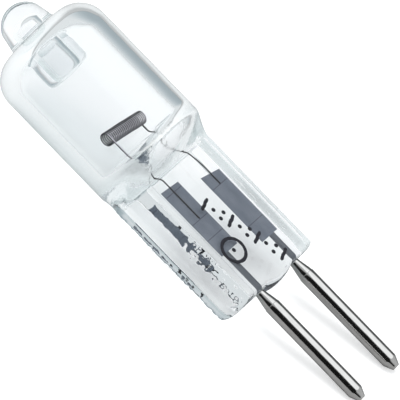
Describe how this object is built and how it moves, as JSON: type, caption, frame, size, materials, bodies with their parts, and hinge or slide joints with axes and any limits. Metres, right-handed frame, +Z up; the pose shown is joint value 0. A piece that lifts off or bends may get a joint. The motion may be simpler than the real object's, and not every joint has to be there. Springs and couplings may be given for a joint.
{
  "type": "halogen capsule bulb",
  "caption": "Low voltage halogen capsule bulb: clear tube with a sealed exhaust stub, wound filament inside, flat pressed seal and straight contact pins.",
  "frame": {"origin": "bottom centre of the bounding box, on the table that the bulb lies on", "axes": "+X along the bulb from its tip to its pins, +Z up out of the printed face, +Y from the front pin to the rear pin"},
  "size_m": [0.0324, 0.0092, 0.0097],
  "materials": {
    "envelope_glass": "clear",
    "filament_wire": "satin",
    "foil": "satin",
    "lead": "satin",
    "pin": "polished"
  },
  "bodies": {
    "root": {"glass_envelope": "envelope_glass", "filament": "filament_wire", "front_foil": "foil", "rear_foil": "foil", "front_lead": "lead", "rear_lead": "lead", "front_pin": "pin", "rear_pin": "pin"}
  },
  "joints": []
}
